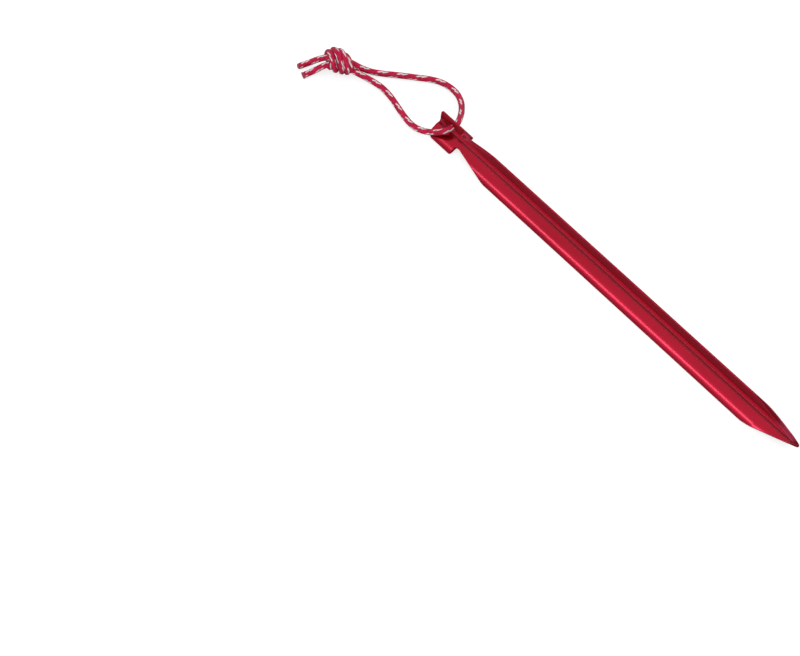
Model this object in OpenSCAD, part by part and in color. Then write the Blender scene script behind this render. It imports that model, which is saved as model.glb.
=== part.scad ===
// Y-section tent stake with a knotted pull cord.
// The stake lies along X on two of its three fins: head at -X, point at +X,
// third fin straight up. Units are millimetres, the surface it lies on is z = 0.

/* [Stake] */
// Overall length, from the struck end to the point
stake_len = 190; // [150:5:210]
// Reach of each fin from the stake's centre line
fin_r = 7; // [6.5:0.1:8]
// Thickness of a fin over its flat inner part
fin_t = 1.6; // [1.4:0.1:1.8]
// How far out the flat part of a fin reaches before it thins
fin_flat_r = 3.6; // [3.2:0.1:4]
// Radius of the rounded outer edge of a fin
edge_r = 0.35; // [0.3:0.05:0.45]
// Fillet radius in the three valleys
valley_r = 1.2; // [0.8:0.1:1.6]

/* [Head] */
// Radius of the rounded outer corner of each fin at the struck end
head_corner_r = 2.8; // [1.5:0.1:3]
// Length of the hook block, from the struck end to the notch
hook_len = 12.6; // [11.5:0.1:14]
// Radius of the hook's rounded corner
hook_corner_r = 0.8; // [0.4:0.1:1.2]
// Depth of the cord notch, inwards from the fin's edge
notch_depth = 3.7; // [3:0.1:3.8]
// Length of the flat bottom of the notch
notch_flat = 2.4; // [2:0.1:3]
// Distance from the struck end to where the fin is full width again
taper_end = 31; // [26:0.5:36]
// How much shorter the upper fin is cut at the struck end
upper_setback = 1.2; // [0.4:0.1:1.6]

/* [Cord hole] */
// Diameter of the hole through the upper fin
hole_d = 3.4; // [3.2:0.1:3.6]
// Distance of the hole from the struck end
hole_from_end = 7.5; // [7.3:0.1:7.7]
// Height of the hole above the stake's centre line
hole_up = 3.2; // [3.1:0.05:3.3]

/* [Point] */
// Slope of each fin's edge along the point, in degrees
point_angle = 17.4; // [14:0.2:22]
// Radius of the blunt tip
tip_r = 0.7; // [0.5:0.1:0.9]
// Radius of the curve that leads from the straight edge into the point
point_blend_r = 23; // [10:1:30]

/* [Pull cord] */
// Diameter of the braided cord
cord_d = 2.4; // [2:0.1:2.4]
// Widest diameter of the knot
knot_d = 11; // [10.4:0.1:11.4]
// Diameter of a melted cord end
seal_d = 2.6; // [2.5:0.05:2.8]
// Length of a melted cord end
seal_len = 0.9; // [0.6:0.1:1.2]

/* [Hidden] */

half_len = stake_len / 2;
fin_h = fin_t / 2;
// height of the stake's centre line when it rests on two fins
axis_z = (fin_r - edge_r) / 2 + edge_r;
head_x = -half_len;
hook_x = head_x + hook_len;
hole_x = head_x + hole_from_end;
hole_z = axis_z + hole_up;
notch_r = fin_r - notch_depth;

// The fin thins along an arc that is tangent to its flat face and to its edge.
flank_d = fin_r - edge_r - fin_flat_r;
flank_r = (flank_d * flank_d + fin_h * fin_h - edge_r * edge_r) / (2 * (fin_h - edge_r));
flank_a = asin(flank_d / (flank_r - edge_r));
// distance of a valley fillet's centre from the centre line
valley_c = (fin_h + valley_r) / sin(60);

function arc(cx, cy, r, a0, a1, n) =
    [for (i = [0:n]) let (a = a0 + (a1 - a0) * i / n) [cx + r * cos(a), cy + r * sin(a)]];
function tail_of(v) = [for (i = [1:len(v) - 1]) v[i]];
function turned(v, a) = [for (p = v) [p[0] * cos(a) - p[1] * sin(a), p[0] * sin(a) + p[1] * cos(a)]];

// Half of one fin's outline, from the valley at 60 degrees to the fin's edge at 0.
half_fin = concat(
    arc(valley_c * cos(60), valley_c * sin(60), valley_r, 240, 270, 5),
    arc(fin_flat_r, fin_h - flank_r, flank_r, 90, 90 - flank_a, 6),
    tail_of(arc(fin_r - edge_r, 0, edge_r, 90 - flank_a, 0, 4)));
// The whole fin, from the valley at -60 degrees round to just before the one at +60.
fin = concat(
    [for (p = half_fin) [p[0], -p[1]]],
    [for (i = [len(half_fin) - 2:-1:1]) half_fin[i]]);
section = [for (k = [0:2]) each turned(fin, 90 + 120 * k)];

// Side outline of one fin: distance along X against distance from the centre line.
point_tx = half_len - tip_r + tip_r * sin(point_angle);
point_tr = tip_r * cos(point_angle);
point_x = point_tx - (fin_r - point_tr) / tan(point_angle);
side = concat(
    [[head_x, 0]],
    arc(head_x + head_corner_r, fin_r - head_corner_r, head_corner_r, 180, 90, 8),
    arc(hook_x - hook_corner_r, fin_r - hook_corner_r, hook_corner_r, 90, 0, 5),
    arc(hook_x + hook_corner_r, notch_r + hook_corner_r, hook_corner_r, 180, 270, 5),
    [[hook_x + notch_flat, notch_r],
     [head_x + taper_end - 2, fin_r - 2 * notch_depth / (taper_end - hook_len - notch_flat)],
     [head_x + taper_end + 2, fin_r]],
    arc(point_x - point_blend_r * tan(point_angle / 2), fin_r - point_blend_r, point_blend_r,
        90, 90 - point_angle, 5),
    arc(half_len - tip_r, 0, tip_r, 90 - point_angle, 0, 5));

// What is cut from the struck end of the upper fin: along X against height.
setback = [
    [head_x - 1, -0.2], [head_x, -0.2], [head_x + upper_setback / 2, 0.9],
    [head_x + upper_setback, 2.8], [head_x + upper_setback, fin_r + 1], [head_x - 1, fin_r + 1]];

// Loop of the pull cord: from the knot along the far side, up through the hole,
// and back to the knot along the near side.
loop_route = [
    [-138.6, -8.1, 4.6], [-136.8, -6.9, 3.7], [-134.6, -5.4, 2.5], [-131.6, -3.1, 1.5],
    [-128.4, -0.4, 1.25], [-125, 2.7, 1.25], [-121.6, 5.8, 1.25], [-118, 8.9, 1.25],
    [-114.5, 11.9, 1.25], [-111, 14, 1.25], [-107, 15.1, 1.25], [-103, 15.1, 1.3],
    [-99.5, 13.9, 1.8], [-96.4, 12, 2.7], [-93.6, 9.6, 3.9], [-91.1, 7, 5.2],
    [-89.2, 4.6, 6.2], [-88, 2.6, 6.75], [-87.55, 1.1, 6.9], [-87.5, 0, 6.9],
    [-87.5, -1.2, 6.9], [-87.9, -2.8, 6.65], [-88.6, -4, 6.2], [-89.6, -4.9, 5.6],
    [-90.8, -5.5, 4.85], [-92.3, -6.1, 4], [-94.2, -6.8, 3.05], [-96.8, -7.5, 2.1],
    [-99.6, -8, 1.5], [-102.6, -8.1, 1.25], [-106, -7.7, 1.25], [-110.5, -6.8, 1.25],
    [-114.9, -5.8, 1.25], [-119.1, -5.1, 1.25],
    [-123.6, -5, 1.25], [-127.2, -5.6, 1.3], [-130.4, -6.6, 1.6], [-133.1, -7.9, 2.3],
    [-135.4, -9.3, 3.2], [-137.4, -10.7, 4.2]];

// The four wraps seen on the knot: centre of each, and its diameter.
knot_heading = 248; // heading of the wraps' axis in plan, in degrees
knot_wraps = [
    [[-143.2, -13.1, knot_d / 2 - 0.5], knot_d * 0.87], [[-141.3, -11.6, knot_d / 2], knot_d],
    [[-139.5, -10.2, knot_d / 2 - 0.2], knot_d * 0.94], [[-138, -9, 4.2], knot_d * 0.7]];

// The two cut tails that leave the knot.
tail_long_route = [
    [-144.4, -13.2, 5.5], [-145.6, -13.9, 5], [-146.8, -14.7, 4.2], [-148, -15.7, 3.2],
    [-149.2, -17.1, 2.2], [-150.2, -19, 1.5], [-150.8, -20.8, 1.35], [-151.2, -22.4, 1.35]];
tail_short_route = [
    [-142.4, -14.2, 4.4], [-143.2, -15.5, 4], [-144.1, -16.8, 3.3], [-145, -18.4, 2.3],
    [-145.7, -20.2, 1.6], [-146.2, -22, 1.35], [-146.5, -23.7, 1.35]];
cord_sides = 8;

// Tube swept along a list of points, one ring of points at each.
function unit(v) = v / norm(v);
function heading(p, i) = unit(p[min(i + 1, len(p) - 1)] - p[max(i - 1, 0)]);
function ring(p, i, r, n) =
    let (t = heading(p, i), s = unit(cross(t, [0, 0, 1])), u = cross(s, t))
    [for (k = [0:n - 1]) p[i] + r * cos(360 * k / n) * s + r * sin(360 * k / n) * u];
module tube(route, r, n) {
    m = len(route);
    polyhedron(
        points = [for (i = [0:m - 1]) each ring(route, i, r, n)],
        faces = concat(
            [[for (k = [n - 1:-1:0]) k]],
            [[for (k = [0:n - 1]) (m - 1) * n + k]],
            [for (i = [0:m - 2]) for (k = [0:n - 1])
                let (a = i * n + k, b = i * n + (k + 1) % n) each [[a, b, b + n], [a, b + n, a + n]]]));
}

// A short melted end, on the end of a tail and in line with it.
module seal(route) {
    m = len(route) - 1;
    t = heading(route, m);
    translate(route[m])
        rotate([0, acos(t[2]), atan2(t[1], t[0])])
            union() {
                cylinder(d = seal_d, h = seal_len * 0.7, $fn = 24);
                cylinder(d = seal_d * 0.72, h = seal_len, $fn = 24);
            }
}

module stake_body() {
    color([0.62, 0.06, 0.12])
    difference() {
        translate([0, 0, axis_z])
            intersection() {
                rotate([90, 0, 90])
                    linear_extrude(height = stake_len + 2, center = true)
                        polygon(section);
                rotate([0, 90, 0])
                    rotate_extrude($fn = 96)
                        polygon([for (p = side) [p[1], p[0]]]);
            }
        translate([0, 0, axis_z])
            rotate([90, 0, 0])
                linear_extrude(height = fin_t + 1, center = true)
                    polygon(setback);
        translate([hole_x, 0, hole_z])
            rotate([90, 0, 0])
                cylinder(d = hole_d, h = fin_t + 4, center = true, $fn = 48);
    }
}

module pull_cord() {
    color([0.78, 0.16, 0.24]) tube(loop_route, cord_d / 2, cord_sides);
}

module cord_knot() {
    color([0.72, 0.13, 0.2])
    for (w = knot_wraps)
        translate(w[0])
            rotate([0, 90, knot_heading])
                rotate_extrude($fn = 48)
                    union() {
                        translate([0, -cord_d / 2]) square([w[1] / 2 - cord_d / 2, cord_d]);
                        translate([w[1] / 2 - cord_d / 2, 0]) circle(d = cord_d, $fn = 32);
                    }
}

module tail_long() {
    color([0.78, 0.16, 0.24]) tube(tail_long_route, cord_d / 2, cord_sides);
}

module tail_short() {
    color([0.78, 0.16, 0.24]) tube(tail_short_route, cord_d / 2, cord_sides);
}

module tail_long_seal() {
    color([0.42, 0.1, 0.14]) seal(tail_long_route);
}

module tail_short_seal() {
    color([0.42, 0.1, 0.14]) seal(tail_short_route);
}

stake_body();
pull_cord();
cord_knot();
tail_long();
tail_short();
tail_long_seal();
tail_short_seal();
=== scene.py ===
import math

import bmesh
import bpy
import numpy as np
from mathutils import Matrix, Vector


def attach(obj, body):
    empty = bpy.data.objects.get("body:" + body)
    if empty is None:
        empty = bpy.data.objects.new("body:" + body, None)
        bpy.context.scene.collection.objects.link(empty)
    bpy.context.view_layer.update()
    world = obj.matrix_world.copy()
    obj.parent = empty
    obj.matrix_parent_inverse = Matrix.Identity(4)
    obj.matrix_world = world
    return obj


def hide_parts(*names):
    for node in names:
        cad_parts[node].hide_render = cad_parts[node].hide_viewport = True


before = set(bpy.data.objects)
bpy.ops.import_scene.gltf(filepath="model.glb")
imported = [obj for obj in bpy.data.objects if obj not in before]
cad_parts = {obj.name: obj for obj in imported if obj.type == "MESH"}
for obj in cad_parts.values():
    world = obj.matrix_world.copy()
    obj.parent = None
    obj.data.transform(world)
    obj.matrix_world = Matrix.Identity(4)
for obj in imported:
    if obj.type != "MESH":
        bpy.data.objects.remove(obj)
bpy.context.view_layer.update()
MM = 0.001
scene = bpy.context.scene

# ---------------------------------------------------------------- camera
cam_data = bpy.data.cameras.new("camera")
cam = bpy.data.objects.new("camera", cam_data)
scene.collection.objects.link(cam)
scene.camera = cam
fwd = Vector((-0.44367, 0.38686, -0.80839)).normalized()
up = Vector((-0.62414, 0.51394, 0.58849))
right = fwd.cross(up).normalized()
up = right.cross(fwd).normalized()
cam.matrix_world = Matrix((
    (right.x, up.x, -fwd.x, 0.39753),
    (right.y, up.y, -fwd.y, -0.44692),
    (right.z, up.z, -fwd.z, 0.78426),
    (0, 0, 0, 1)))
cam_data.sensor_width = 36.0
cam_data.lens = 122.76
cam_data.clip_start = 0.01
cam_data.clip_end = 20

# ---------------------------------------------------------------- sizes, mm
AXIS_Z = 3.675          # the stake's centre line above the surface
FIN_R, FIN_H, FLAT_R = 7.0, 0.8, 3.6
EDGE_R = 0.35
FLANK_R = ((FIN_R - EDGE_R - FLAT_R) ** 2 + FIN_H ** 2 - EDGE_R ** 2) / (2 * (FIN_H - EDGE_R))
VALLEY_R = 1.2
VALLEY_C = (FIN_H + VALLEY_R) / math.sin(math.radians(60))
HEAD_X, TIP_X = -95.0, 95.0
HOOK_X = HEAD_X + 12.6
NOTCH_R = 3.3
HOLE_X, HOLE_UP, HOLE_R = -87.5, 3.2, 1.7
CORD_D = 2.4

# the cord's own line, knot to knot, as in the CAD
LOOP = [
    (-138.6, -8.1, 4.6), (-136.8, -6.9, 3.7), (-134.6, -5.4, 2.5), (-131.6, -3.1, 1.5),
    (-128.4, -0.4, 1.25), (-125, 2.7, 1.25), (-121.6, 5.8, 1.25), (-118, 8.9, 1.25),
    (-114.5, 11.9, 1.25), (-111, 14, 1.25), (-107, 15.1, 1.25), (-103, 15.1, 1.3),
    (-99.5, 13.9, 1.8), (-96.4, 12, 2.7), (-93.6, 9.6, 3.9), (-91.1, 7, 5.2),
    (-89.2, 4.6, 6.2), (-88, 2.6, 6.75), (-87.55, 1.1, 6.9), (-87.5, 0, 6.9),
    (-87.5, -1.2, 6.9), (-87.9, -2.8, 6.65), (-88.6, -4, 6.2), (-89.6, -4.9, 5.6),
    (-90.8, -5.5, 4.85), (-92.3, -6.1, 4), (-94.2, -6.8, 3.05), (-96.8, -7.5, 2.1),
    (-99.6, -8, 1.5), (-102.6, -8.1, 1.25), (-106, -7.7, 1.25), (-110.5, -6.8, 1.25),
    (-114.9, -5.8, 1.25), (-119.1, -5.1, 1.25), (-123.6, -5, 1.25), (-127.2, -5.6, 1.3),
    (-130.4, -6.6, 1.6), (-133.1, -7.9, 2.3), (-135.4, -9.3, 3.2), (-137.4, -10.7, 4.2)]
TAIL_LONG = [
    (-144.4, -13.2, 5.5), (-145.6, -13.9, 5), (-146.8, -14.7, 4.2), (-148, -15.7, 3.2),
    (-149.2, -17.1, 2.2), (-150.2, -19, 1.5), (-150.8, -20.8, 1.35), (-151.2, -22.4, 1.35)]
TAIL_SHORT = [
    (-142.4, -14.2, 4.4), (-143.2, -15.5, 4), (-144.1, -16.8, 3.3), (-145, -18.4, 2.3),
    (-145.7, -20.2, 1.6), (-146.2, -22, 1.35), (-146.5, -23.7, 1.35)]


# ---------------------------------------------------------------- helpers
def new_mesh(name, verts, faces, uv=None, col=None):
    me = bpy.data.meshes.new(name)
    me.from_pydata([tuple(map(float, v)) for v in verts], [], faces)
    me.update()
    if uv is not None:
        layer = me.uv_layers.new(name="UVMap")
        idx = np.zeros(len(me.loops), np.int32)
        me.loops.foreach_get("vertex_index", idx)
        flat = np.asarray(uv, np.float32)
        if len(flat) == len(me.vertices):
            flat = flat[idx]
        layer.data.foreach_set("uv", flat.ravel())
    ob = bpy.data.objects.new(name, me)
    scene.collection.objects.link(ob)
    return ob


def smooth_by_angle(ob, degrees):
    me = ob.data
    bm = bmesh.new()
    bm.from_mesh(me)
    bmesh.ops.recalc_face_normals(bm, faces=bm.faces)
    limit = math.radians(degrees)
    for f in bm.faces:
        f.smooth = True
    for e in bm.edges:
        e.smooth = not (len(e.link_faces) == 2 and e.calc_face_angle(0) > limit)
    bm.to_mesh(me)
    bm.free()


def catmull(points, step):
    """Points along a smooth curve through the given ones, step apart."""
    p = np.asarray(points, float)
    ext = np.vstack([2 * p[0] - p[1], p, 2 * p[-1] - p[-2]])
    out = []
    for i in range(1, len(ext) - 2):
        p0, p1, p2, p3 = ext[i - 1:i + 3]
        t0 = 0.0
        t1 = t0 + np.linalg.norm(p1 - p0) ** 0.5
        t2 = t1 + np.linalg.norm(p2 - p1) ** 0.5
        t3 = t2 + np.linalg.norm(p3 - p2) ** 0.5
        for t in np.linspace(t1, t2, 24, endpoint=False):
            a1 = (t1 - t) / (t1 - t0) * p0 + (t - t0) / (t1 - t0) * p1
            a2 = (t2 - t) / (t2 - t1) * p1 + (t - t1) / (t2 - t1) * p2
            a3 = (t3 - t) / (t3 - t2) * p2 + (t - t2) / (t3 - t2) * p3
            b1 = (t2 - t) / (t2 - t0) * a1 + (t - t0) / (t2 - t0) * a2
            b2 = (t3 - t) / (t3 - t1) * a2 + (t - t1) / (t3 - t1) * a3
            out.append((t2 - t) / (t2 - t1) * b1 + (t - t1) / (t2 - t1) * b2)
    out.append(p[-1])
    return resample(np.array(out), step)


def resample(q, step):
    s = np.r_[0, np.cumsum(np.linalg.norm(np.diff(q, axis=0), axis=1))]
    n = max(2, int(round(s[-1] / step)))
    t = np.linspace(0, s[-1], n + 1)
    return np.c_[[np.interp(t, s, q[:, k]) for k in range(3)]].T


def frames(p, start=None):
    """Tangents and a pair of cross directions that turn as little as they can."""
    t = np.gradient(p, axis=0)
    t /= np.linalg.norm(t, axis=1)[:, None]
    n = np.zeros_like(p)
    ref = np.array([0, 0, 1.0]) if start is None else np.asarray(start, float)
    v = ref - t[0] * (ref @ t[0])
    n[0] = v / np.linalg.norm(v)
    for i in range(1, len(p)):
        v = n[i - 1] - t[i] * (n[i - 1] @ t[i])
        n[i] = v / np.linalg.norm(v)
    return t, n, np.cross(t, n)


# ---------------------------------------------------------------- the braid
BRAID_PITCH, CARRIERS = 15.0, 8
BRAID_START = 2.61      # the first tracer pair's place along the loop, mm
BRAID_TURN = 0.014    # and its place round the cord, turns


def braid_height(s, phi):
    """Height of a 2-over-2 braid's yarns, 0 to 1, at arc length s (mm) and angle phi (turns)."""
    a = (s / BRAID_PITCH + phi) * CARRIERS
    b = (s / BRAID_PITCH - phi) * CARRIERS
    ia, ib = np.floor(a), np.floor(b)
    fa, fb = a - ia, b - ib
    over = np.mod(ia - ib, 4) < 2
    k = np.mod(ia - ib, 4)
    # each float runs over two crossings: place along it, -1 to 1
    pa = np.where(k == 0, 1 - fb, 2 - fb)       # yarn a on top: ib falls as k grows
    pa = pa - 1
    pb = np.where(k == 2, fa, fa + 1) - 1
    across_a, across_b = 2 * fa - 1, 2 * fb - 1
    ha = np.sqrt(np.clip(1 - 0.8 * across_a ** 2, 0, 1)) * np.sqrt(np.clip(1 - 0.75 * pa ** 2, 0, 1))
    hb = np.sqrt(np.clip(1 - 0.8 * across_b ** 2, 0, 1)) * np.sqrt(np.clip(1 - 0.75 * pb ** 2, 0, 1))
    return np.where(over, ha, hb)


def braided_tube(name, path, s0=0.0, step=0.16, around=72, d=CORD_D, relief=0.075, end_caps=True, phase=BRAID_TURN):
    """A braided cord along path (mm); relief is how deep its yarns' furrows are."""
    p = resample(np.asarray(path, float), step)
    t, n, b = frames(p)
    s = s0 + np.r_[0, np.cumsum(np.linalg.norm(np.diff(p, axis=0), axis=1))]
    phi = np.arange(around) / around
    S, PH = np.meshgrid(s, phi + phase, indexing="ij")
    h = braid_height(S, PH)
    r = d / 2 - relief * (1 - h)
    ang = 2 * np.pi * phi
    ring = np.cos(ang)[None, :, None] * n[:, None, :] + np.sin(ang)[None, :, None] * b[:, None, :]
    verts = (p[:, None, :] + r[:, :, None] * ring).reshape(-1, 3)
    m = len(p)
    faces, uv = [], []
    for i in range(m - 1):
        for k in range(around):
            k2 = (k + 1) % around
            faces.append((i * around + k, i * around + k2, (i + 1) * around + k2, (i + 1) * around + k))
            ku = phi[k] + phase
            ku2 = ku + 1.0 / around
            uv += [(s[i] / 10, ku), (s[i] / 10, ku2), (s[i + 1] / 10, ku2), (s[i + 1] / 10, ku)]
    if end_caps:
        for i, flip in ((0, True), (m - 1, False)):
            c = len(verts)
            verts = np.vstack([verts, p[i] + (-t[i] if flip else t[i]) * 0.12])
            for k in range(around):
                k2 = (k + 1) % around
                q = (i * around + k, i * around + k2)
                faces.append((c, q[1], q[0]) if flip else (c, q[0], q[1]))
                uv += [(s[i] / 10, phi[k] + phase)] * 3
    ob = new_mesh(name, verts * MM, faces)
    layer = ob.data.uv_layers.new(name="UVMap")
    layer.data.foreach_set("uv", np.asarray(uv, np.float32).ravel())
    for f in ob.data.polygons:
        f.use_smooth = True
    return ob, p


# ---------------------------------------------------------------- the stake
def fin_half(r):
    """Half thickness of an uncut fin at distance r from the centre line."""
    r = np.asarray(r, float)
    flank = FIN_H - FLANK_R + np.sqrt(np.clip(FLANK_R ** 2 - (r - FLAT_R) ** 2, 0, None))
    edge = np.sqrt(np.clip(EDGE_R ** 2 - (r - (FIN_R - EDGE_R)) ** 2, 0, None))
    return np.where(r <= FLAT_R, FIN_H, np.where(r < 6.751, flank, edge))


ROWS = 16        # intervals along one side of a fin, root to edge
ROOT_R = 1.155   # where a valley's fillet meets the flat of a fin
HOLE_TOP = 5.55  # the last row of the patch round the hole
CUT = 0.14       # the softened corner of a machined edge


def fin_rows(reach):
    """(r, h) along one side of a fin cut off at reach."""
    e = min(CUT, 0.3 * reach)
    rc = min(6.751, reach - e)
    root = min(ROOT_R, 0.6 * reach)
    share = np.linspace(0, 1, ROWS + 1)
    split = (HOLE_TOP - ROOT_R) / (6.751 - ROOT_R)
    # the second row lies close to the first, so the flat's shading ends where the fillet starts
    share = np.r_[0, np.linspace(0.008, split, ROWS - 4), np.linspace(split, 1, 5)[1:]]
    r = root + share * (rc - root)
    h = fin_half(r)
    # the outer corner: rounded where the extruded edge is left, softened where it is cut
    a = np.radians([22, 45, 68, 90])
    nat = np.c_[6.65 + 0.35 * np.sin(np.radians([34, 52, 71, 90])), 0.35 * np.cos(np.radians([34, 52, 71, 90]))]
    hh = fin_half(rc)
    e = min(e, 0.8 * hh)
    cut = np.c_[rc + (reach - rc) * np.sin(a), hh - e + e * np.cos(a)]
    cut = np.vstack([cut[:3], [reach, max(hh - e, 0) * 0.98], [reach, 0]])
    nat = np.vstack([nat[:3], [6.999, 0.02], [7.0, 0]])
    w = min(1.0, max(0.0, (7.0 - reach) / 0.2))
    outer = nat * (1 - w) + cut * w
    return np.vstack([np.c_[r, h], outer])


VALLEY_STEPS = 6


def section(reach_up, reach_low, top=None, inset=0.0):
    """The stake's outline at one station, as (y, z) about the centre line. Starts in the valley between the upper and the near fin."""
    pts = []
    for k in range(3):
        reach = reach_up if k == 0 else reach_low
        rows = fin_rows(max(reach - inset, 0.05))
        lo = [(c[0], -max(c[1] - inset, 0.0)) for c in rows]
        hi = [(c[0], max(c[1] - inset, 0.0)) for c in rows]
        ring = hi + lo[::-1][1:]
        a = math.radians(90 + 120 * k)
        for r, h in ring:
            pts.append((r * math.cos(a) - h * math.sin(a), r * math.sin(a) + h * math.cos(a)))
        # the valley after this fin, on the side of +h of the next; it is reached going down in angle
        # (the ring above runs from +h round to -h, so the next point lies at a - 60 degrees)
        va = a - math.radians(60)
        for j in range(1, VALLEY_STEPS):
            w = -30 + 60 * j / VALLEY_STEPS
            # arc about the fillet's centre, which lies VALLEY_C out along va
            ang = va + math.pi - math.radians(w)
            x = VALLEY_C * math.cos(va) + (VALLEY_R + inset) * math.cos(ang)
            y = VALLEY_C * math.sin(va) + (VALLEY_R + inset) * math.sin(ang)
            pts.append((x, y))
    # order the fins the way the rings run: upper (90), then 330, then 210 degrees
    n = len(pts) // 3
    up_, left, rt = pts[:n], pts[n:2 * n], pts[2 * n:]
    pts = np.array(up_ + rt + left, float)
    rho = np.linalg.norm(pts, axis=1)
    cap = max(reach_up, reach_low)
    if cap < 1.8:
        over = rho > cap
        pts[over] *= (cap / rho[over])[:, None]
    if top is not None:
        pts[:, 1] = np.minimum(pts[:, 1], top)
    return pts


def arc_pts(cx, cy, r, a0, a1, n):
    a = np.radians(np.linspace(a0, a1, n + 1))
    return [(cx + r * math.cos(v), cy + r * math.sin(v)) for v in a]


PA = math.radians(17.4)
tip_r, blend_r = 0.7, 23.0
ptx = TIP_X - tip_r + tip_r * math.sin(PA)
ptr = tip_r * math.cos(PA)
pnt_x = ptx - (FIN_R - ptr) / math.tan(PA)
profile = (
    arc_pts(HEAD_X + 2.8, FIN_R - 2.8, 2.8, 180, 90, 18)
    + [(x, FIN_R) for x in np.linspace(-91.2, -90.31, 3)]
    + [(x, FIN_R) for x in np.linspace(-90.3, -84.7, 17)]
    + [(-84.2, FIN_R)]
    + arc_pts(HOOK_X - 0.8, FIN_R - 0.8, 0.8, 90, 4, 9)
    + [(HOOK_X + 0.012, 5.4), (HOOK_X + 0.024, 4.8)]
    + arc_pts(HOOK_X + 0.83, NOTCH_R + 0.8, 0.8, 176, 270, 9)
    + [(-80.8, NOTCH_R), (-80.0, NOTCH_R)]
    + [(x, NOTCH_R + (x + 80.0) * 3.2375 / 14) for x in np.linspace(-79.4, -66.6, 12)]
    + [(-66, 6.5375), (-65, 6.745), (-64, 6.89), (-63, 6.965), (-62, FIN_R)]
    + [(x, FIN_R) for x in np.linspace(-55, 60, 12)]
    + arc_pts(pnt_x - blend_r * math.tan(PA / 2), FIN_R - blend_r, blend_r, 90, 90 - 17.4, 12)
)
last = profile[-1]
profile += [(last[0] + (ptx - last[0]) * f, last[1] + (ptr - last[1]) * f) for f in (0.2, 0.4, 0.55, 0.68, 0.78, 0.86, 0.92, 0.97)]
profile += arc_pts(TIP_X - tip_r, 0, tip_r, 90 - 17.4, 6, 8)


def upper_cut(x):
    """The upper fin is cut back at the struck end: the highest it reaches there, or None."""
    if x >= -93.8:
        return None
    return float(np.interp(x, [-95, -94.4, -93.8], [-0.2, 0.9, 2.8]))


stations = [(HEAD_X, profile[0][1] - 0.0, upper_cut(HEAD_X), 0.18),
            (HEAD_X + 0.05, profile[0][1], upper_cut(HEAD_X + 0.05), 0.05)]
cut_done = False
for x, r in profile:
    x = max(x, HEAD_X + 0.16)
    if x > -93.8 and not cut_done:
        rr = 4.2 + math.sqrt(max(2.8 ** 2 - (92.2 - 93.8) ** 2, 0))
        stations.append((-93.83, rr, 2.72, 0.0))
        stations.append((-93.80, rr, 2.86, 0.0))
        stations.append((-93.79, rr - 0.0, None, 0.0))
        cut_done = True
    if stations[-1][0] < x - 1e-6:
        stations.append((x, r, upper_cut(x), 0.0))
verts, rings = [], []
for x, r, top, inset in stations:
    sec = section(r, r, top, inset)
    rings.append(len(sec))
    verts += [(x, y, AXIS_Z + z) for y, z in sec]
N = rings[0]
faces = []
for i in range(len(stations) - 1):
    for k in range(N):
        k2 = (k + 1) % N
        faces.append([i * N + k, i * N + k2, (i + 1) * N + k2, (i + 1) * N + k])
faces.append(list(range(N))[::-1])
faces.append([(len(stations) - 1) * N + k for k in range(N)])

# the cord hole through the upper fin: a patch of each side is opened and run into the bore
SX = [i for i, s in enumerate(stations) if -90.31 < s[0] < -84.69]
SX = [i for i in SX if abs(stations[i][0] - (-90.31)) > 1e-3]
ROW_TOP = ROWS - 4
per_fin = N // 3
near_row = lambda j: j                                   # +h side of the upper fin, root to edge
far_row = lambda j: (2 * (ROWS + 1 + 5) - 2) - j         # -h side
V = np.array(verts, float)
drop = set()
patches = []
for side_row in (near_row, far_row):
    for a in range(len(SX) - 1):
        i = SX[a]
        for j in range(ROW_TOP):
            q = sorted([side_row(j), side_row(j + 1)])
            drop.add((i, q[0]))
    loop = [(SX[a], side_row(0)) for a in range(len(SX))]
    loop += [(SX[-1], side_row(j)) for j in range(1, ROW_TOP + 1)]
    loop += [(SX[a], side_row(ROW_TOP)) for a in range(len(SX) - 2, -1, -1)]
    loop += [(SX[0], side_row(j)) for j in range(ROW_TOP - 1, 0, -1)]
    patches.append([i * N + k for i, k in loop])
faces = [f for f in faces if not (len(f) == 4 and (f[0] // N, f[0] % N) in drop and f[1] == f[0] + 1)]
hole_c = np.array([HOLE_X, AXIS_Z + HOLE_UP])
allv = [tuple(v) for v in V]
ends = []
RIM = 0.22
for border in patches:
    n = len(border)
    b = V[border]
    sign = 1.0 if b[:, 1].mean() > 0 else -1.0
    ang = np.arctan2(b[:, 2] - hole_c[1], b[:, 0] - hole_c[0])
    a0, step_a = ang[0], 0.0
    turn = np.unwrap(ang)
    direction = 1.0 if turn[-1] > turn[0] else -1.0
    # even angles round the hole, lined up with the patch's own corners
    even = turn[0] + direction * 2 * np.pi * np.arange(n) / n
    even += np.mean(turn - even)
    rim = np.c_[hole_c[0] + (HOLE_R + RIM) * np.cos(even), hole_c[1] + (HOLE_R + RIM) * np.sin(even)]
    prev = list(border)
    layers = []
    for f in (0.3, 0.6, 0.85, 1.0):
        xz = b[:, [0, 2]] * (1 - f) + rim * f
        y = sign * fin_half(xz[:, 1] - AXIS_Z)
        layers.append(np.c_[xz[:, 0], y, xz[:, 1]])
    for g in (25, 50, 70, 90):
        rr = HOLE_R + RIM - RIM * math.sin(math.radians(g))
        xz = np.c_[hole_c[0] + rr * np.cos(even), hole_c[1] + rr * np.sin(even)]
        outer = fin_half(xz[:, 1] - AXIS_Z) - RIM * (1 - math.cos(math.radians(g)))
        layers.append(np.c_[xz[:, 0], sign * outer, xz[:, 1]])
    for layer in layers:
        base = len(allv)
        allv += [tuple(v) for v in layer]
        now = list(range(base, base + n))
        for k in range(n):
            k2 = (k + 1) % n
            faces.append([prev[k], prev[k2], now[k2], now[k]])
        prev = now
    ends.append((prev, even, direction))
(e1, ang1, d1), (e2, ang2, d2) = ends
order = []
for a in ang1:
    diff = np.abs((ang2 - a + np.pi) % (2 * np.pi) - np.pi)
    order.append(e2[int(diff.argmin())])
for k in range(len(e1)):
    k2 = (k + 1) % len(e1)
    faces.append([e1[k], e1[k2], order[k2], order[k]])
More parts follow.
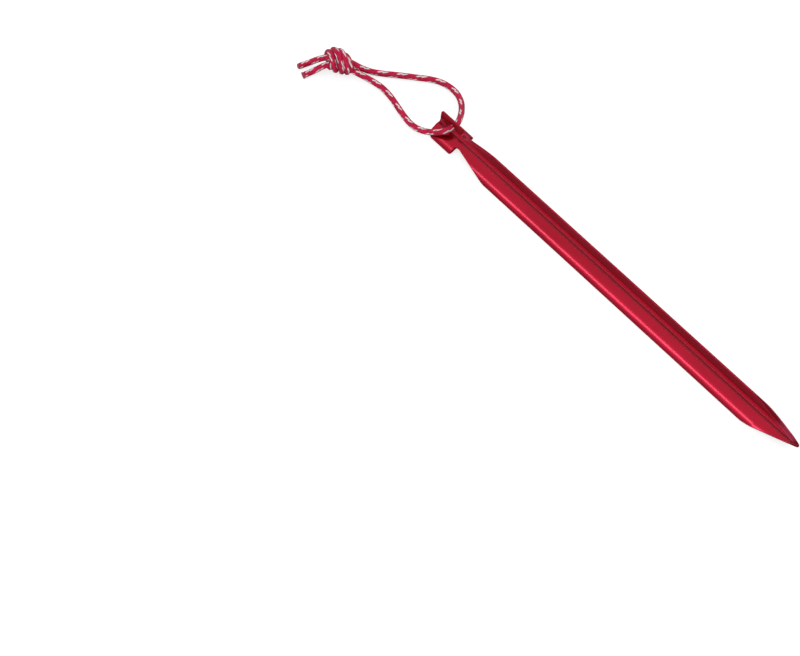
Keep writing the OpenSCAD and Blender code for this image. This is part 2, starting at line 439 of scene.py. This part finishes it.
stake = new_mesh("stake_shell", np.array(allv) * MM, faces)
bm = bmesh.new()
bm.from_mesh(stake.data)
bmesh.ops.remove_doubles(bm, verts=bm.verts, dist=2e-7)
bmesh.ops.dissolve_degenerate(bm, edges=bm.edges, dist=1e-7)
loose = [v for v in bm.verts if not v.link_faces]
bmesh.ops.delete(bm, geom=loose, context="VERTS")
bm.to_mesh(stake.data)
bm.free()
smooth_by_angle(stake, 38)
wn = stake.modifiers.new("even_normals", "WEIGHTED_NORMAL")
wn.keep_sharp = True
wn.weight = 80

# ---------------------------------------------------------------- the cord
loop_path = catmull(LOOP, 0.3)
cord, cord_path = braided_tube("pull_cord_loop", loop_path, s0=BRAID_START)

# the knot: four wraps seen from the front, made by two strands that each go round twice,
# on the same centres and tilt as the CAD's rings
WRAPS = [(-143.2, -13.1, 5.0, 9.57), (-141.3, -11.6, 5.5, 11.0), (-139.5, -10.2, 5.3, 10.34), (-138.0, -9.0, 4.2, 7.7)]
wrap_n = np.array([math.cos(math.radians(68)), math.sin(math.radians(68)), 0.0])
wrap_f = np.array([0.44, -0.39, 0.81])
wrap_f -= wrap_n * (wrap_f @ wrap_n)
wrap_f /= np.linalg.norm(wrap_f)
wrap_s = np.cross(wrap_n, wrap_f)
W = np.array(WRAPS)


def wrap_point(place, turn, r=None):
    """A point on the wraps: place counts ridges from the tails' side, turn is 0 where a ridge faces the front."""
    c = np.array([np.interp(place, [0, 1, 2, 3], W[:, k]) for k in range(3)])
    if place < 0:
        c = W[0, :3] + (W[0, :3] - W[1, :3]) * -place
    if place > 3:
        c = W[3, :3] + (W[3, :3] - W[2, :3]) * (place - 3)
    if r is None:
        r = float(np.interp(place, [-0.9, -0.45, 0, 1, 2, 3, 3.4, 3.8],
                            [1.5, 2.7, 3.585, 4.3, 3.97, 2.95, 2.5, 1.5]))
    ang = 2 * math.pi * turn
    return c + r * (math.cos(ang) * wrap_f + math.sin(ang) * wrap_s)


def strand(k, hand=1.0):
    """One strand's wraps, ends turned into the core."""
    lo, hi = (-0.30, 1.46) if k == 0 else (-0.62, 1.16)
    turns = np.linspace(lo, hi, 70)
    # a wrap runs nearly straight round in front and steps on to its next place behind
    step = lambda t: k + 2 * (t - 0.78 * math.sin(2 * math.pi * t) / (2 * math.pi))
    pts = [wrap_point(step(t), hand * t) for t in turns]
    p0, p1 = step(lo), step(hi)
    head = [wrap_point(p0 + 0.75, hand * (lo - 0.34), 0.5), wrap_point(p0 + 0.2, hand * (lo - 0.22), 1.5),
            wrap_point(p0 - 0.02, hand * (lo - 0.11), 2.6)]
    tail = [wrap_point(p1 + 0.02, hand * (hi + 0.11), 2.1), wrap_point(p1 - 0.3, hand * (hi + 0.22), 1.3),
            wrap_point(p1 - 0.8, hand * (hi + 0.34), 0.5)]
    return catmull(head + pts[2:-2:6] + [pts[-3]] + tail, 0.25)


knot_parts = []
for k in (0, 1):
    o, _ = braided_tube("wrap_%d" % k, strand(k), s0=1.0 + 3.1 * k, phase=0.09 + 0.31 * k, relief=0.085)
    knot_parts.append(o)
core_r = [(-138.6, -8.1, 4.6), (-137.4, -10.7, 4.2)]
ins = [[(-141.6, -10.9, 5.3), (-140.2, -9.5, 5.2)], [(-140.9, -12.5, 4.9), (-139.2, -11.9, 4.7)]]
for k in (0, 1):
    o, _ = braided_tube("core_%d" % k, catmull(ins[k] + [core_r[k]], 0.25), s0=BRAID_START - 3.6)
    knot_parts.append(o)
for o in knot_parts:
    o.select_set(False)
bm = bmesh.new()
for o in knot_parts:
    bm.from_mesh(o.data)
knot_me = bpy.data.meshes.new("knot_wraps")
bm.to_mesh(knot_me)
bm.free()
for o in knot_parts:
    bpy.data.objects.remove(o, do_unlink=True)
knot = bpy.data.objects.new("knot_wraps", knot_me)
scene.collection.objects.link(knot)

tail_in = [[(-141.4, -11.9, 5.6), (-142.9, -12.5, 5.7)], [(-140.6, -12.3, 4.6), (-141.5, -13.2, 4.6)]]
tail_a, ta_path = braided_tube("cord_tail_long", catmull(tail_in[0] + TAIL_LONG, 0.3), s0=3.0, phase=0.06)
tail_b, tb_path = braided_tube("cord_tail_short", catmull(tail_in[1] + TAIL_SHORT, 0.3), s0=5.2, phase=0.03)


def seal(name, path, outline, seed):
    """A heat-sealed end on the cord: outline is (distance past the cord's end, radius), slightly uneven round."""
    end = np.asarray(path[-1], float)
    d = end - np.asarray(path[-4], float)
    d /= np.linalg.norm(d)
    u = np.cross(d, [0, 0, 1.0])
    u /= np.linalg.norm(u)
    v = np.cross(d, u)
    rng = np.random.default_rng(seed)
    lump = [(rng.uniform(0.01, 0.04), rng.integers(2, 6), rng.uniform(0, 6.28)) for _ in range(5)]
    n = 48
    fine = []
    prof = np.asarray(outline, float)
    t = np.r_[0, np.cumsum(np.linalg.norm(np.diff(prof, axis=0), axis=1))]
    for q in np.linspace(0, t[-1], 26):
        fine.append((np.interp(q, t, prof[:, 0]), np.interp(q, t, prof[:, 1])))
    vs, fs = [], []
    for i, (x, r) in enumerate(fine):
        for k in range(n):
            g = 2 * math.pi * k / n
            w = 1 + sum(a * math.sin(m * g + ph + 1.7 * x) for a, m, ph in lump) * min(1, r)
            vs.append(end + d * x + (u * math.cos(g) + v * math.sin(g)) * r * w)
    for i in range(len(fine) - 1):
        for k in range(n):
            k2 = (k + 1) % n
            fs.append((i * n + k, i * n + k2, (i + 1) * n + k2, (i + 1) * n + k))
    vs.append(end + d * fine[0][0])
    vs.append(end + d * fine[-1][0])
    for k in range(n):
        k2 = (k + 1) % n
        fs.append((len(vs) - 2, k2, k))
        fs.append((len(vs) - 1, (len(fine) - 1) * n + k, (len(fine) - 1) * n + k2))
    vs = np.array(vs)
    vs[:, 2] = np.maximum(vs[:, 2], 0.03)
    o = new_mesh(name, vs * MM, fs)
    smooth_by_angle(o, 55)
    return o


seal_a = seal("seal_long", TAIL_LONG, [(-0.1, 1.1), (0.05, 1.17), (0.3, 1.13), (0.55, 0.98), (0.76, 0.7), (0.87, 0.35), (0.9, 0.06)], 3)
seal_b = seal("seal_short", TAIL_SHORT, [(0.0, 1.12), (0.3, 1.19), (0.55, 1.3), (0.74, 1.34), (0.83, 1.25), (0.86, 0.9), (0.82, 0.5), (0.85, 0.06)], 8)

# ---------------------------------------------------------------- materials
def material(name):
    m = bpy.data.materials.new(name)
    m.use_nodes = True
    nt = m.node_tree
    return m, nt, nt.nodes["Principled BSDF"]


def add(nt, kind, **props):
    n = nt.nodes.new(kind)
    for k, v in props.items():
        setattr(n, k, v)
    return n


def math_node(nt, op, a, b=None, clamp=False):
    n = nt.nodes.new("ShaderNodeMath")
    n.operation = op
    n.use_clamp = clamp
    for i, v in enumerate((a, b)):
        if v is None:
            continue
        if isinstance(v, (int, float)):
            n.inputs[i].default_value = v
        else:
            nt.links.new(v, n.inputs[i])
    return n.outputs[0]


def anodised():
    m, nt, p = material("anodised_red")
    tc = add(nt, "ShaderNodeTexCoord")
    mp = add(nt, "ShaderNodeMapping")
    mp.inputs["Scale"].default_value = (9, 900, 900)
    nt.links.new(tc.outputs["Object"], mp.inputs["Vector"])
    lines = add(nt, "ShaderNodeTexNoise")
    lines.inputs["Scale"].default_value = 3.0
    lines.inputs["Detail"].default_value = 4
    nt.links.new(mp.outputs["Vector"], lines.inputs["Vector"])
    mp2 = add(nt, "ShaderNodeMapping")
    mp2.inputs["Scale"].default_value = (40, 160, 160)
    nt.links.new(tc.outputs["Object"], mp2.inputs["Vector"])
    cloud = add(nt, "ShaderNodeTexNoise")
    cloud.inputs["Scale"].default_value = 1.0
    cloud.inputs["Detail"].default_value = 3
    nt.links.new(mp2.outputs["Vector"], cloud.inputs["Vector"])
    ramp = add(nt, "ShaderNodeValToRGB")
    ramp.color_ramp.elements[0].position = 0.3
    ramp.color_ramp.elements[0].color = (0.44, 0.004, 0.022, 1)
    ramp.color_ramp.elements[1].position = 0.75
    ramp.color_ramp.elements[1].color = (0.55, 0.007, 0.032, 1)
    nt.links.new(cloud.outputs["Fac"], ramp.inputs["Fac"])
    # the valleys between the fins are made duller (rougher), and painted shade darkens their colour
    where = add(nt, "ShaderNodeSeparateXYZ")
    nt.links.new(tc.outputs["Object"], where.inputs["Vector"])
    oy = math_node(nt, "MULTIPLY", where.outputs["Y"], 1000.0)
    oz = math_node(nt, "SUBTRACT", math_node(nt, "MULTIPLY", where.outputs["Z"], 1000.0), AXIS_Z)
    reach = math_node(nt, "SQRT", math_node(nt, "ADD", math_node(nt, "MULTIPLY", oy, oy), math_node(nt, "MULTIPLY", oz, oz)))
    valley = add(nt, "ShaderNodeMapRange")
    valley.interpolation_type = "SMOOTHSTEP"
    valley.inputs["From Min"].default_value = 1.62
    valley.inputs["From Max"].default_value = 1.3
    nt.links.new(reach, valley.inputs["Value"])
    # painted reflection: a fine pale line just above the valley, on both sides of the upper fin, stands in for the
    # near fin's face mirrored there
    dist = math_node(nt, "ABSOLUTE", math_node(nt, "SUBTRACT", oz, 1.42))
    reflection_line = add(nt, "ShaderNodeMapRange")
    reflection_line.interpolation_type = "SMOOTHSTEP"
    reflection_line.inputs["From Min"].default_value = 0.16
    reflection_line.inputs["From Max"].default_value = 0.03
    nt.links.new(dist, reflection_line.inputs["Value"])
    # it runs out before the point and before the struck end
    run_out = add(nt, "ShaderNodeMapRange")
    run_out.interpolation_type = "SMOOTHSTEP"
    run_out.inputs["From Min"].default_value = 0.0905
    run_out.inputs["From Max"].default_value = 0.087
    nt.links.new(where.outputs["X"], run_out.inputs["Value"])
    kept = math_node(nt, "MULTIPLY", run_out.outputs["Result"], math_node(nt, "GREATER_THAN", where.outputs["X"], -0.0936))
    side = math_node(nt, "MULTIPLY", math_node(nt, "MULTIPLY", math_node(nt, "LESS_THAN", math_node(nt, "ABSOLUTE", oy), 1.0), kept),
                     math_node(nt, "MULTIPLY", reflection_line.outputs["Result"], 0.9))
    # painted light: the upper fin's lower half is given a paler, less mirror-like tone that stands in for light the
    # near fin reflects onto it
    painted_root_light = add(nt, "ShaderNodeMapRange")
    painted_root_light.interpolation_type = "SMOOTHSTEP"
    painted_root_light.inputs["From Min"].default_value = 4.3
    painted_root_light.inputs["From Max"].default_value = 2.6
    nt.links.new(oz, painted_root_light.inputs["Value"])
    painted_root_light_mask = math_node(nt, "MULTIPLY", math_node(nt, "LESS_THAN", math_node(nt, "ABSOLUTE", oy), 0.95),
                         math_node(nt, "MULTIPLY", painted_root_light.outputs["Result"], math_node(nt, "GREATER_THAN", oz, 1.1)))
    # painted light colour laid over the upper fin's lower half
    soft = add(nt, "ShaderNodeMixRGB")
    nt.links.new(painted_root_light_mask, soft.inputs["Fac"])
    nt.links.new(ramp.outputs["Color"], soft.inputs["Color1"])
    soft.inputs["Color2"].default_value = (0.60, 0.045, 0.105, 1)
    # painted shade: the base colour is multiplied darker in the valleys
    dark = add(nt, "ShaderNodeMixRGB", blend_type="MULTIPLY")
    nt.links.new(math_node(nt, "MULTIPLY", valley.outputs["Result"], 0.75), dark.inputs["Fac"])
    nt.links.new(soft.outputs[0], dark.inputs["Color1"])
    dark.inputs["Color2"].default_value = (0.45, 0.45, 0.45, 1)
    # painted reflection: the pale line's colour laid over the base colour
    pale = add(nt, "ShaderNodeMixRGB")
    nt.links.new(side, pale.inputs["Fac"])
    nt.links.new(dark.outputs[0], pale.inputs["Color1"])
    pale.inputs["Color2"].default_value = (0.95, 0.15, 0.24, 1)
    nt.links.new(pale.outputs[0], p.inputs["Base Color"])
    rough = add(nt, "ShaderNodeMapRange")
    rough.inputs["To Min"].default_value = 0.15
    rough.inputs["To Max"].default_value = 0.25
    nt.links.new(lines.outputs["Fac"], rough.inputs["Value"])
    # roughness rises in the valleys and on the painted reflection line
    nt.links.new(math_node(nt, "ADD", rough.outputs["Result"],
                           math_node(nt, "MULTIPLY", math_node(nt, "MAXIMUM", valley.outputs["Result"], side), 0.3)),
                 p.inputs["Roughness"])
    # metallic is lowered on the painted reflection line and on the painted light of the upper fin's lower half
    nt.links.new(math_node(nt, "SUBTRACT", 1.0, math_node(nt, "MAXIMUM", math_node(nt, "MULTIPLY", side, 0.6),
                                                          math_node(nt, "MULTIPLY", painted_root_light_mask, 0.25))), p.inputs["Metallic"])
    p.inputs["Specular Tint"].default_value = (1.0, 0.42, 0.5, 1)
    p.inputs["Sheen Weight"].default_value = 0.07
    p.inputs["Sheen Roughness"].default_value = 0.35
    p.inputs["Sheen Tint"].default_value = (1.0, 0.5, 0.65, 1)
    p.inputs["Coat Weight"].default_value = 0.24
    p.inputs["Coat Roughness"].default_value = 0.10
    p.inputs["Coat IOR"].default_value = 1.6
    bump = add(nt, "ShaderNodeBump")
    bump.inputs["Strength"].default_value = 0.12
    bump.inputs["Distance"].default_value = 0.00004
    nt.links.new(lines.outputs["Fac"], bump.inputs["Height"])
    nt.links.new(bump.outputs["Normal"], p.inputs["Normal"])
    return m


def braid():
    m, nt, p = material("braided_cord")
    uv = add(nt, "ShaderNodeUVMap")
    uv.uv_map = "UVMap"
    sep = add(nt, "ShaderNodeSeparateXYZ")
    nt.links.new(uv.outputs["UV"], sep.inputs["Vector"])
    u, v = sep.outputs["X"], sep.outputs["Y"]
    su = math_node(nt, "MULTIPLY", u, 10.0 * CARRIERS / BRAID_PITCH)
    sv = math_node(nt, "MULTIPLY", v, float(CARRIERS))
    a = math_node(nt, "ADD", su, sv)
    b = math_node(nt, "SUBTRACT", su, sv)
    ia, ib = math_node(nt, "FLOOR", a), math_node(nt, "FLOOR", b)
    d = math_node(nt, "SUBTRACT", ia, ib)
    k = math_node(nt, "FLOORED_MODULO", d, 4.0)
    over = math_node(nt, "LESS_THAN", k, 1.5)
    # tracer yarns: two neighbours of every four, all running one way, so their floats follow each other in line
    fa = math_node(nt, "FRACT", a)
    fb = math_node(nt, "FRACT", b)
    lane = math_node(nt, "LESS_THAN", math_node(nt, "FLOORED_MODULO", ia, 4.0), 1.5)
    # place along a float, from -1 to 1; the flat tracer lies a little straighter than its yarn's lane
    run = math_node(nt, "SUBTRACT", fb, math_node(nt, "GREATER_THAN", k, 0.5))
    lean = math_node(nt, "MULTIPLY", run, 0.3)
    off = math_node(nt, "ABSOLUTE", math_node(nt, "SUBTRACT", math_node(nt, "SUBTRACT", fa, 0.5), lean))
    slim = math_node(nt, "LESS_THAN", off, 0.42)
    whole = math_node(nt, "LESS_THAN", math_node(nt, "ABSOLUTE", run), 0.93)
    tracer = math_node(nt, "MULTIPLY", math_node(nt, "MULTIPLY", over, lane), math_node(nt, "MULTIPLY", slim, whole))
    # one number per yarn piece, for small differences of tone
    seed = math_node(nt, "ADD", math_node(nt, "MULTIPLY", ia, 12.9898), math_node(nt, "MULTIPLY", ib, 78.233))
    tone = math_node(nt, "FRACT", math_node(nt, "MULTIPLY", math_node(nt, "SINE", seed), 43.758))
    red = add(nt, "ShaderNodeMixRGB")
    red.inputs["Color1"].default_value = (0.56, 0.004, 0.046, 1)
    red.inputs["Color2"].default_value = (0.79, 0.010, 0.082, 1)
    nt.links.new(tone, red.inputs["Fac"])
    grey = add(nt, "ShaderNodeMixRGB")
    grey.inputs["Color1"].default_value = (0.84, 0.66, 0.70, 1)
    grey.inputs["Color2"].default_value = (1.0, 0.90, 0.92, 1)
    nt.links.new(tone, grey.inputs["Fac"])
    # fine filaments along each yarn
    fil = add(nt, "ShaderNodeTexNoise")
    fil.inputs["Scale"].default_value = 1.0
    fil.inputs["Detail"].default_value = 2
    comb = add(nt, "ShaderNodeCombineXYZ")
    along = add(nt, "ShaderNodeMix")
    along.data_type = "FLOAT"
    nt.links.new(over, along.inputs[0])
    nt.links.new(b, along.inputs[2])
    nt.links.new(a, along.inputs[3])
    nt.links.new(math_node(nt, "MULTIPLY", along.outputs[0], 9.0), comb.inputs["X"])
    nt.links.new(math_node(nt, "MULTIPLY", su, 0.7), comb.inputs["Y"])
    nt.links.new(comb.outputs[0], fil.inputs["Vector"])
    col = add(nt, "ShaderNodeMixRGB")
    nt.links.new(tracer, col.inputs["Fac"])
    nt.links.new(red.outputs[0], col.inputs["Color1"])
    nt.links.new(grey.outputs[0], col.inputs["Color2"])
    shade = add(nt, "ShaderNodeMapRange")
    shade.inputs["To Min"].default_value = 0.72
    shade.inputs["To Max"].default_value = 1.12
    nt.links.new(fil.outputs["Fac"], shade.inputs["Value"])
    # painted shade: the base colour is darkened in the furrows between the yarns
    edge_a = math_node(nt, "ABSOLUTE", math_node(nt, "SUBTRACT", fa, 0.5))
    edge_b = math_node(nt, "ABSOLUTE", math_node(nt, "SUBTRACT", fb, 0.5))
    edge = add(nt, "ShaderNodeMix")
    edge.data_type = "FLOAT"
    nt.links.new(over, edge.inputs[0])
    nt.links.new(edge_b, edge.inputs[2])
    nt.links.new(edge_a, edge.inputs[3])
    furrow = add(nt, "ShaderNodeMapRange")
    furrow.interpolation_type = "SMOOTHSTEP"
    furrow.inputs["From Min"].default_value = 0.3
    furrow.inputs["From Max"].default_value = 0.5
    furrow.inputs["To Min"].default_value = 1.0
    furrow.inputs["To Max"].default_value = 0.6
    nt.links.new(edge.outputs[0], furrow.inputs["Value"])
    # painted shade: the base colour is darkened where the cord turns away from view, along its outline
    lean_away = add(nt, "ShaderNodeLayerWeight")
    lean_away.inputs["Blend"].default_value = 0.5
    rim_shade = add(nt, "ShaderNodeMapRange")
    rim_shade.interpolation_type = "SMOOTHSTEP"
    rim_shade.inputs["From Min"].default_value = 0.4
    rim_shade.inputs["From Max"].default_value = 0.95
    rim_shade.inputs["To Min"].default_value = 1.0
    rim_shade.inputs["To Max"].default_value = 0.4
    nt.links.new(lean_away.outputs["Facing"], rim_shade.inputs["Value"])
    # yarn tone from the filaments, times the painted furrow shade and the painted outline shade
    dim = math_node(nt, "MULTIPLY", math_node(nt, "MULTIPLY", shade.outputs[0], furrow.outputs["Result"]),
                    rim_shade.outputs["Result"])
    mul = add(nt, "ShaderNodeMixRGB", blend_type="MULTIPLY")
    mul.inputs["Fac"].default_value = 1.0
    nt.links.new(col.outputs[0], mul.inputs["Color1"])
    cc = add(nt, "ShaderNodeCombineColor")
    for c in range(3):
        nt.links.new(dim, cc.inputs[c])
    nt.links.new(cc.outputs[0], mul.inputs["Color2"])
    nt.links.new(mul.outputs[0], p.inputs["Base Color"])
    rough = add(nt, "ShaderNodeMapRange")
    rough.inputs["To Min"].default_value = 0.62
    rough.inputs["To Max"].default_value = 0.35
    nt.links.new(tracer, rough.inputs["Value"])
    nt.links.new(rough.outputs[0], p.inputs["Roughness"])
    p.inputs["Specular IOR Level"].default_value = 0.25
    p.inputs["Sheen Weight"].default_value = 0.04
    p.inputs["Sheen Roughness"].default_value = 0.4
    bump = add(nt, "ShaderNodeBump")
    bump.inputs["Strength"].default_value = 0.35
    bump.inputs["Distance"].default_value = 0.00005
    nt.links.new(fil.outputs["Fac"], bump.inputs["Height"])
    nt.links.new(bump.outputs["Normal"], p.inputs["Normal"])
    return m


def melted():
    m, nt, p = material("melted_end")
    noise = add(nt, "ShaderNodeTexNoise")
    noise.inputs["Scale"].default_value = 1500
    tc = add(nt, "ShaderNodeTexCoord")
    nt.links.new(tc.outputs["Object"], noise.inputs["Vector"])
    ramp = add(nt, "ShaderNodeValToRGB")
    ramp.color_ramp.elements[0].color = (0.30, 0.012, 0.035, 1)
    ramp.color_ramp.elements[1].color = (0.55, 0.05, 0.09, 1)
    nt.links.new(noise.outputs["Fac"], ramp.inputs["Fac"])
    nt.links.new(ramp.outputs["Color"], p.inputs["Base Color"])
    p.inputs["Roughness"].default_value = 0.35
    bump = add(nt, "ShaderNodeBump")
    bump.inputs["Strength"].default_value = 0.5
    bump.inputs["Distance"].default_value = 0.0001
    nt.links.new(noise.outputs["Fac"], bump.inputs["Height"])
    nt.links.new(bump.outputs["Normal"], p.inputs["Normal"])
    return m


mat_stake, mat_cord, mat_seal = anodised(), braid(), melted()
stake.data.materials.append(mat_stake)
for o in (cord, tail_a, tail_b, knot):
    o.data.materials.append(mat_cord)
for o in (seal_a, seal_b):
    o.data.materials.append(mat_seal)

# ---------------------------------------------------------------- who rides where
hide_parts("stake_body")
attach(stake, "stake")
for o, node, slot in ((cord, "pull_cord", "braided_cord"), (knot, "cord_knot", "braided_cord"),
                      (tail_a, "tail_long", "braided_cord"), (tail_b, "tail_short", "braided_cord"),
                      (seal_a, "tail_long_seal", "melted_end"), (seal_b, "tail_short_seal", "melted_end")):
    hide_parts(node)
    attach(o, "pull_loop")

# ---------------------------------------------------------------- surroundings
floor = new_mesh("floor", [(-3, -3, 0), (3, -3, 0), (3, 3, 0), (-3, 3, 0)], [(0, 1, 2, 3)])
fm, fnt, fp = material("floor_white")
fp.inputs["Base Color"].default_value = (0.5, 0.5, 0.5, 1)
fp.inputs["Roughness"].default_value = 0.9
fp.inputs["Specular IOR Level"].default_value = 0.1
fp.inputs["Emission Color"].default_value = (1, 1, 1, 1)
lp = fnt.nodes.new("ShaderNodeLightPath")
glow = fnt.nodes.new("ShaderNodeMath")
glow.operation = "MULTIPLY"
glow.inputs[1].default_value = 0.72
fnt.links.new(lp.outputs["Is Camera Ray"], glow.inputs[0])
fnt.links.new(glow.outputs[0], fp.inputs["Emission Strength"])
floor.data.materials.append(fm)
floor.location.z = -0.00002

# the studio: a bright ceiling that falls off to darker walls
world = bpy.data.worlds.new("studio")
scene.world = world
world.use_nodes = True
wt = world.node_tree
bg = wt.nodes["Background"]
bg.inputs["Strength"].default_value = 1.0
wtc = wt.nodes.new("ShaderNodeTexCoord")
wsep = wt.nodes.new("ShaderNodeSeparateXYZ")
wt.links.new(wtc.outputs["Generated"], wsep.inputs["Vector"])
wmr = wt.nodes.new("ShaderNodeMapRange")
wmr.interpolation_type = "SMOOTHSTEP"
wmr.inputs["From Min"].default_value = 0.36
wmr.inputs["From Max"].default_value = 0.62
wmr.inputs["To Min"].default_value = 0.34
wmr.inputs["To Max"].default_value = 0.78
wt.links.new(wsep.outputs["Z"], wmr.inputs["Value"])
band = wt.nodes.new("ShaderNodeMapRange")
band.interpolation_type = "SMOOTHSTEP"
band.inputs["From Min"].default_value = 0.34
band.inputs["From Max"].default_value = 0.07
band.inputs["To Min"].default_value = 0.0
band.inputs["To Max"].default_value = 1.5
wt.links.new(math_node(wt, "ABSOLUTE", wsep.outputs["Z"]), band.inputs["Value"])
shade_dot = wt.nodes.new("ShaderNodeVectorMath")
shade_dot.operation = "DOT_PRODUCT"
wt.links.new(wtc.outputs["Generated"], shade_dot.inputs[0])
shade_dot.inputs[1].default_value = (-0.15, 0.42, 0.89)
patch = wt.nodes.new("ShaderNodeMapRange")
patch.interpolation_type = "SMOOTHSTEP"
patch.inputs["From Min"].default_value = 0.78
patch.inputs["From Max"].default_value = 0.93
patch.inputs["To Min"].default_value = 1.0
patch.inputs["To Max"].default_value = 0.35
wt.links.new(shade_dot.outputs["Value"], patch.inputs["Value"])
sky = math_node(wt, "MULTIPLY", math_node(wt, "ADD", wmr.outputs["Result"], band.outputs["Result"]), patch.outputs["Result"])
wcc = wt.nodes.new("ShaderNodeCombineColor")
for c in range(3):
    wt.links.new(sky, wcc.inputs[c])
wt.links.new(wcc.outputs[0], bg.inputs["Color"])


def area(name, loc, target, size, power, size_y=None, turn=0.0):
    d = bpy.data.lights.new(name, "AREA")
    d.energy = power
    d.size = size
    if size_y:
        d.shape = "RECTANGLE"
        d.size_y = size_y
    o = bpy.data.objects.new(name, d)
    scene.collection.objects.link(o)
    z = (Vector(loc) - Vector(target)).normalized()
    x = (Vector((1, 0, 0)) - z * z.x).normalized()
    y = z.cross(x)
    o.matrix_world = Matrix(((x.x, y.x, z.x, loc[0]), (x.y, y.y, z.y, loc[1]), (x.z, y.z, z.z, loc[2]), (0, 0, 0, 1)))
    return o


# a long strip that draws the bright line along the near fin, and a big soft one behind
strip = area("strip", (-0.40, -1.275, 1.315), (0, 0, 0), 1.2, 2.7, 0.15)
strip.data.color = (0.68, 1.25, 1.25)
back = area("back", (-0.2, 1.1, 1.5), (0, 0, 0), 1.6, 9, 1.2)
back.visible_glossy = False
scene.view_settings.view_transform = "Standard"

bpy.context.view_layer.update()
